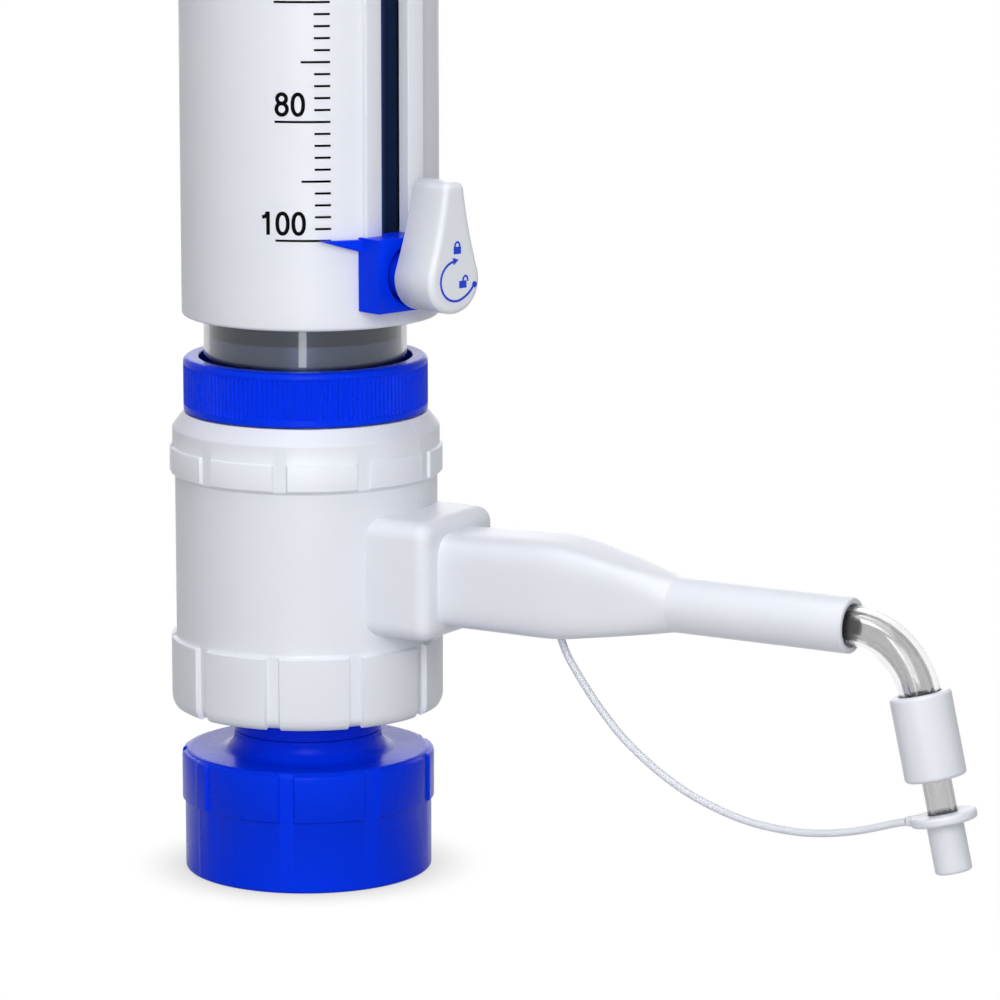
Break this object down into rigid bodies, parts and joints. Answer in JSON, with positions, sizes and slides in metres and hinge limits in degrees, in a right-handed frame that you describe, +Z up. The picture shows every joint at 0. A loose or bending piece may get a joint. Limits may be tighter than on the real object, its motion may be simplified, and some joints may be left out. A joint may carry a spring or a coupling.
{
  "type": "bottle-top dispenser",
  "caption": "Bottle-top dispenser with a screw cap, ball valves, a lift-up dosing sleeve with a sliding volume stop and locking lever, and a delivery arm with a tethered tip cap.",
  "frame": {"origin": "on the bottle's axis, in the plane of the bottle cap's underside", "axes": "+Z up along the bottle's axis and the piston's stroke, +X along the delivery arm, +Y completes a right-handed frame; the volume stop faces 16.5 degrees from +X towards -Y"},
  "size_m": [0.1864, 0.0576, 0.2825],
  "materials": {
    "blue plastic": "satin moulded blue polypropylene",
    "white plastic": "smooth moulded cool white plastic",
    "navy plastic": "dark navy moulded plastic",
    "white fluoropolymer": "machined white fluoropolymer",
    "gasket foam": "pale foamed sealing disc",
    "gasket rubber": "dark moulded elastomer",
    "clear glass": "clear borosilicate glass",
    "clear guard": "clear moulded plastic guard",
    "clear tubing": "clear fluoropolymer tubing",
    "steel jacket": "smooth drawn steel tube",
    "bright steel": "bright turned stainless steel",
    "ceramic": "polished ceramic ball"
  },
  "bodies": {
    "bottle_cap": {"bottle_nut": "blue plastic"},
    "valve_body": {"neck_insert": "blue plastic", "bottle_gasket": "gasket foam", "intake_nipple": "white fluoropolymer", "inlet_valve_seat": "white fluoropolymer", "inlet_valve_cage": "white fluoropolymer", "valve_housing": "white plastic", "outlet_valve_seat": "white fluoropolymer", "outlet_valve_holder": "white fluoropolymer", "outlet_spring": "bright steel", "discharge_arm": "white plastic", "discharge_tube": "clear tubing", "outer_tube": "clear tubing", "tip_collar": "white plastic", "tether_anchor": "white plastic", "cap_tether": "white plastic", "cylinder_gasket": "gasket rubber", "measuring_cylinder": "clear glass", "cylinder_jacket": "steel jacket", "guard_tube": "clear guard", "union_ring": "blue plastic", "stop_rail": "navy plastic", "zero_stop": "navy plastic"},
    "sleeve": {"outer_sleeve": "white plastic", "top_cap": "blue plastic", "rod_nut": "bright steel", "piston_rod": "bright steel", "piston_head": "white fluoropolymer", "piston_seal": "white fluoropolymer"},
    "volume_stop": {"stop_slider": "blue plastic"},
    "clamp_jaw": {"clamp_shoe": "bright steel", "clamp_stud": "bright steel"},
    "lever": {"lever_hub": "blue plastic", "lock_lever": "white plastic"},
    "inlet_valve_ball": {"inlet_ball": "ceramic"},
    "outlet_valve_ball": {"outlet_ball": "ceramic"},
    "tip_closure": {"tip_cap": "white plastic"}
  },
  "joints": [
    {"name": "body_swivel", "type": "hinge", "parent": "bottle_cap", "child": "valve_body", "pos_m": [0, 0, 0.0301], "axis": [0, 0, 1], "continuous": true},
    {"name": "dose_lift", "type": "slide", "parent": "valve_body", "child": "sleeve", "axis": [0, 0, 1], "range_m": [0, 0.12204]},
    {"name": "volume_slide", "type": "slide", "parent": "sleeve", "child": "volume_stop", "axis": [0, 0, 1], "range_m": [0, 0.10984]},
    {"name": "lever_turn", "type": "hinge", "parent": "volume_stop", "child": "lever", "pos_m": [0.03461, -0.01025, 0.1311], "axis": [0.9588, -0.284, 0], "range_deg": [0, 270]},
    {"name": "clamp_slide", "type": "slide", "parent": "volume_stop", "child": "clamp_jaw", "axis": [-0.9588, 0.284, 0], "range_m": [0, 0.000525]},
    {"name": "inlet_ball_lift", "type": "slide", "parent": "valve_body", "child": "inlet_valve_ball", "axis": [0, 0, 1], "range_m": [0, 0.0015]},
    {"name": "outlet_ball_lift", "type": "slide", "parent": "valve_body", "child": "outlet_valve_ball", "axis": [1, 0, 0], "range_m": [0, 0.0015], "stiffness_N_per_m": 50, "springref_m": -0.002, "deforming": ["outlet_spring"]},
    {"name": "tip_cap_pull", "type": "slide", "parent": "valve_body", "child": "tip_closure", "axis": [0.225, 0, -0.9744], "range_m": [0, 0.012], "deforming": ["cap_tether"]}
  ],
  "couplings": [
    {"joint": "lever_turn", "follows": "clamp_slide", "rad_per_m": 8975.9}
  ]
}
